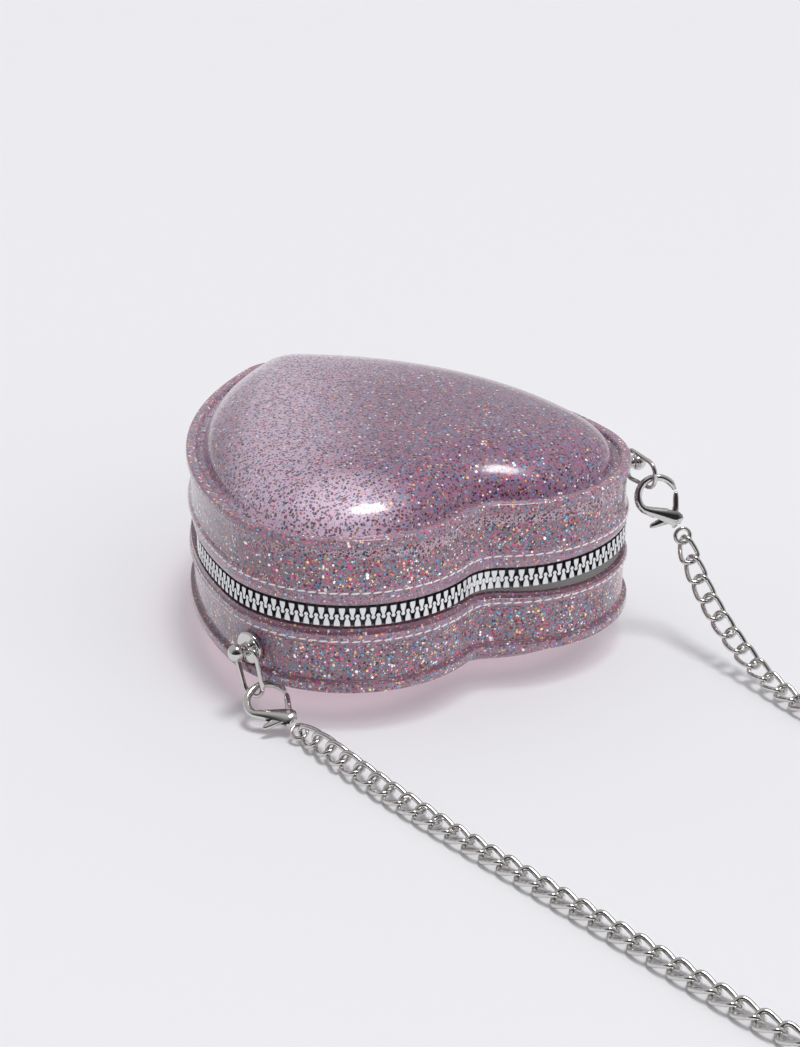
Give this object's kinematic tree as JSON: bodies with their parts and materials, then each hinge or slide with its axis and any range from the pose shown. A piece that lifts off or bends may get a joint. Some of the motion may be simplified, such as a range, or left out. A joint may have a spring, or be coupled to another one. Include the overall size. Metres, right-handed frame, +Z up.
{
  "type": "heart shaped purse",
  "caption": "Small hard heart shaped purse of two moulded shells with a zip between them, studs with rings at its shoulders and a clip-on chain strap.",
  "frame": {"origin": "middle of the heart's box on the floor the purse lies on", "axes": "+Z up, +Y towards the tip of the heart, +X to the lobe with the upper stud"},
  "size_m": [0.1934, 0.3805, 0.0776],
  "materials": {
    "jelly_shell": "translucent mauve vinyl with glitter",
    "zip_tape": "woven",
    "zip_teeth": "black resin with silvered faces",
    "zip_metal": "nickel plated",
    "nickel": "nickel plated",
    "spring_steel": "spring steel",
    "tie": "clear band"
  },
  "bodies": {
    "base": {"lower_shell": "jelly_shell", "lower_zip_tape": "zip_tape", "hinge_strip": "zip_tape", "lower_flank_teeth": "zip_teeth", "lower_front_teeth": "zip_teeth", "lower_zip_stops": "zip_teeth", "front_stud_post": "nickel", "front_stud_washer": "nickel", "front_stud_screw": "nickel", "chain_front": "nickel", "chain_coil": "nickel", "chain_rear": "nickel", "chain_tie": "tie"},
    "lid": {"upper_shell": "jelly_shell", "upper_zip_tape": "zip_tape", "upper_flank_teeth": "zip_teeth", "upper_front_teeth": "zip_teeth", "upper_zip_stops": "zip_teeth", "rear_stud_post": "nickel", "rear_stud_washer": "nickel", "rear_stud_screw": "nickel"},
    "slider": {"zip_slider": "zip_metal"},
    "pull": {"pull_tab": "zip_metal"},
    "front_ring": {"front_ring": "nickel"},
    "front_clasp": {"front_clasp_hook": "nickel", "front_clasp_pin": "nickel", "front_clasp_spring": "spring_steel"},
    "front_lever": {"front_clasp_lever": "nickel"},
    "rear_ring": {"rear_ring": "nickel"},
    "rear_clasp": {"rear_clasp_hook": "nickel", "rear_clasp_pin": "nickel", "rear_clasp_spring": "spring_steel"},
    "rear_lever": {"rear_clasp_lever": "nickel"}
  },
  "joints": [
    {"name": "lid_open", "type": "hinge", "parent": "base", "child": "lid", "pos_m": [0, 0.07895, 0.0388], "axis": [-1, 0, 0], "range_deg": [0, 100], "deforming": ["hinge_strip", "chain_rear"]},
    {"name": "slider_travel", "type": "hinge", "parent": "base", "child": "slider", "pos_m": [-0.0616, -0.03546, 0.0388], "axis": [0, 0, -1], "range_deg": [0, 30], "deforming": ["upper_flank_teeth", "lower_flank_teeth"]},
    {"name": "pull_swing", "type": "hinge", "parent": "slider", "child": "pull", "pos_m": [0.04023, 0.04885, 0.0388], "axis": [0, 0, 1], "range_deg": [0, 150]},
    {"name": "front_ring_swing", "type": "hinge", "parent": "base", "child": "front_ring", "pos_m": [-0.07045, -0.04725, 0.0222], "axis": [-0.2478, 0.9182, -0.309], "range_deg": [-3, 8], "deforming": ["chain_front"]},
    {"name": "front_clasp_roll", "type": "hinge", "parent": "front_ring", "child": "front_clasp", "pos_m": [-0.06444, -0.07136, 0.00363], "axis": [-0.2277, 0.927, 0.298], "range_deg": [-4, 15], "deforming": ["chain_front"]},
    {"name": "front_lever_press", "type": "hinge", "parent": "front_clasp", "child": "front_lever", "pos_m": [-0.06448, -0.06471, 0.0063], "axis": [-0.2979, -0.3577, 0.8851], "range_deg": [0, 28], "stiffness_Nm_per_rad": 0.01, "springref_deg": -17.19},
    {"name": "rear_ring_swing", "type": "hinge", "parent": "lid", "child": "rear_ring", "pos_m": [0.07045, -0.04725, 0.0554], "axis": [0, 0, 1], "range_deg": [-6, 10], "deforming": ["chain_rear"]},
    {"name": "rear_clasp_roll", "type": "hinge", "parent": "rear_ring", "child": "rear_clasp", "pos_m": [0.0777, -0.06896, 0.03595], "axis": [-0.3335, 0.4156, 0.8462], "range_deg": [-12, 12], "deforming": ["chain_rear"]},
    {"name": "rear_lever_press", "type": "hinge", "parent": "rear_clasp", "child": "rear_lever", "pos_m": [0.07632, -0.06631, 0.04245], "axis": [-0.4022, -0.8745, 0.271], "range_deg": [0, 28], "stiffness_Nm_per_rad": 0.01, "springref_deg": -17.19}
  ]
}
